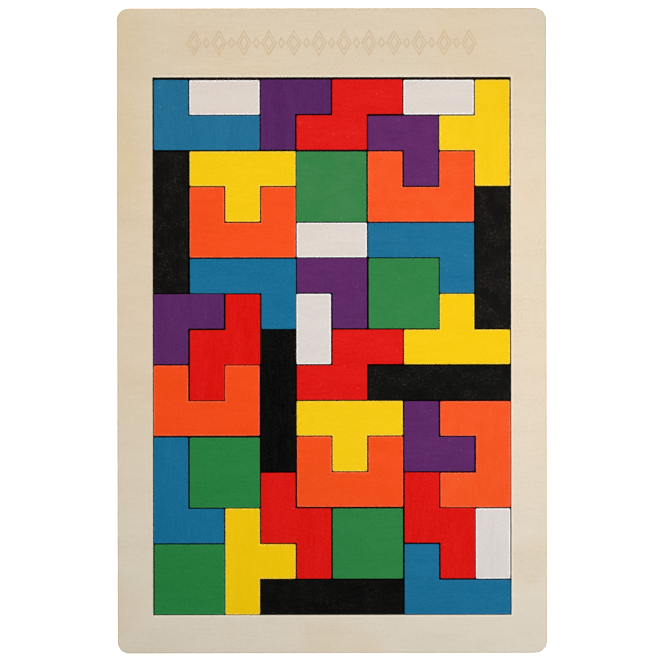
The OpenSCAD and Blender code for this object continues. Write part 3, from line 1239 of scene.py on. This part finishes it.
def cut_lozenge(bm, middle_x, size, tall):
    """Cuts one lozenge out of its cell and returns its face."""
    half_width = size[0] / 2
    half_length = size[1] / 2
    cell = (middle_x - half_width, middle_x + half_width, BAND_MIDDLE_Y - tall, BAND_MIDDLE_Y + tall)
    if half_length < tall:
        for end in (-half_length, half_length):
            cut_faces(bm, faces_between(bm, *cell), (0, BAND_MIDDLE_Y + end, 0), (0, 1, 0))
    for side in (-1, 1):
        for end in (-1, 1):
            tip = (middle_x + side * half_width, BAND_MIDDLE_Y, 0)
            across = (side * half_length, end * half_width, 0)
            cut_faces(bm, faces_between(bm, *cell), tip, across)
    near_x = (middle_x - LOZENGE_MIDDLE, middle_x + LOZENGE_MIDDLE)
    near_y = (BAND_MIDDLE_Y - LOZENGE_MIDDLE, BAND_MIDDLE_Y + LOZENGE_MIDDLE)
    return faces_between(bm, *near_x, *near_y)[0]


def draw_lines(bm, lozenge, steps):
    """Draws a lozenge's lines one inside the other and returns their faces."""
    lines = []
    for step in steps:
        bmesh.ops.inset_region(bm, faces=[lozenge], thickness=step, use_even_offset=True)
        drawn = bmesh.ops.inset_region(bm, faces=[lozenge], thickness=LINE_WIDTH, use_even_offset=True)
        lines += drawn["faces"]
    return lines


# %% [markdown]
# ## Carved band
#
# The margin is cut into upright cells side by side, one for each lozenge. When all lozenges are drawn,
# their lines are pressed down into the wood.

# %% Carved band
# Width and length of a lozenge
LARGE_LOZENGE = (7.0, 12.0)
SMALL_LOZENGE = (3.5, 6.0)
LARGE_COUNT = 12
LINE_DEPTH = 0.1
# Width of wood left before each line of a lozenge, from its tips inwards
STEPS = {LARGE_LOZENGE: [0.25, 0.7], SMALL_LOZENGE: [0.25]}


def draw_band(bm):
    """Draws the row of lozenges on the frame's wide margin and returns the faces of its lines."""
    tall = LARGE_LOZENGE[1] / 2
    sizes = [LARGE_LOZENGE, SMALL_LOZENGE] * (LARGE_COUNT - 1) + [LARGE_LOZENGE]
    length = sum(size[0] for size in sizes)
    margin = (-WINDOW_HALF_WIDTH, WINDOW_HALF_WIDTH, WINDOW_TOP, FRAME_HIGH.y)
    band = (-length, length, BAND_MIDDLE_Y - tall, BAND_MIDDLE_Y + tall)
    for end in (-tall, tall):
        cut_faces(bm, faces_between(bm, *margin), (0, BAND_MIDDLE_Y + end, 0), (0, 1, 0))
    border_x = -length / 2
    cut_faces(bm, faces_between(bm, *band), (border_x, 0, 0), (1, 0, 0))
    lines = []
    for size in sizes:
        border_x += size[0]
        cut_faces(bm, faces_between(bm, *band), (border_x, 0, 0), (1, 0, 0))
        lozenge = cut_lozenge(bm, border_x - size[0] / 2, size, tall)
        lines += draw_lines(bm, lozenge, STEPS[size])
    return lines


def press_lines(bm, lines):
    """Presses the lines down into the wood."""
    sunk = bmesh.ops.extrude_face_region(bm, geom=lines)["geom"]
    bottom = [part for part in sunk if isinstance(part, bmesh.types.BMVert)]
    bmesh.ops.translate(bm, vec=(0, 0, -LINE_DEPTH), verts=bottom)
    bmesh.ops.delete(bm, geom=lines, context="FACES")


press_lines(frame_bm, draw_band(frame_bm))
print("frame after carving:", len(frame_bm.faces), "faces")

# %% [markdown]
# ## Colouring the frame
#
# A mesh can hold several materials, and each face says which it has. Where a face lies and which way it
# looks is enough to choose: level faces are veneer or the bottom of a line, and upright ones are the
# outline's cut, the window's cut or the side of a line. Rounded edges keep the veneer of the face.

# %% Colouring the frame
FACE, OUTLINE, WINDOW_WALL, LINE = range(4)
LINE_LEVEL = FRAME_HIGH.z - LINE_DEPTH


def frame_material(face):
    """Number of the material that a face of the frame has."""
    height = face.calc_center_median().z
    if is_level(face):
        return LINE if abs(height - LINE_LEVEL) < LINE_DEPTH / 2 else FACE
    if not is_upright(face):
        return FACE
    if height > LINE_LEVEL:
        return LINE
    return WINDOW_WALL if all(on_window(edge) for edge in face.edges) else OUTLINE


for face in frame_bm.faces:
    face.material_index = frame_material(face)
frame_piece = finish_piece(frame_bm, "tray_frame_board", "tray_frame",
                           [FRAME_WOOD, OUTER_CUT, WINDOW_CUT, CARVED_LINE])
print("frame:", len(frame_piece.data.polygons), "faces")

# %% [markdown]
# ## Base board
#
# The thin board under everything has the frame's outline. Only its edge, its underside and what shows
# through the clearances can be seen. Its lower edge is rounded like the frame's upper one.

# %% Base board
UNDERSIDE, CUT, TOP = range(3)


def base_board():
    """The base board in its place."""
    low, high = box_mm("base_board")
    middle = (low + high) / 2
    bm = flat_sheet(high.x - low.x, high.y - low.y, (middle.x, middle.y, low.z))
    thicken(bm, high.z - low.z)
    round_edges(bm, upright_corners(bm), TRAY_CORNER_RADIUS, segments=12)
    round_edges(bm, rim_edges(bm, low.z), TRAY_EDGE_RADIUS, segments=4)
    for face in bm.faces:
        on_top = is_level(face) and abs(face.calc_center_median().z - high.z) < TOUCH
        face.material_index = CUT if is_upright(face) else TOP if on_top else UNDERSIDE
    return finish_piece(bm, "base_board_sheet", "base_board", [BOARD_WOOD, OUTER_CUT, BOARD_SHADED_TOP])


base_piece = base_board()
print("base board:", len(base_piece.data.polygons), "faces")

# %% [markdown]
# ## Size
#
# The dressed tray has to be as large as the imported one. The last line prints how far the dressed box
# differs from the imported one.


dressed_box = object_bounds()
growth = max(abs(a - b) for one, other in zip(CAD_BOX, dressed_box) for a, b in zip(one, other))
print(f"largest difference from the packed box: {growth / MM:.3f} mm")
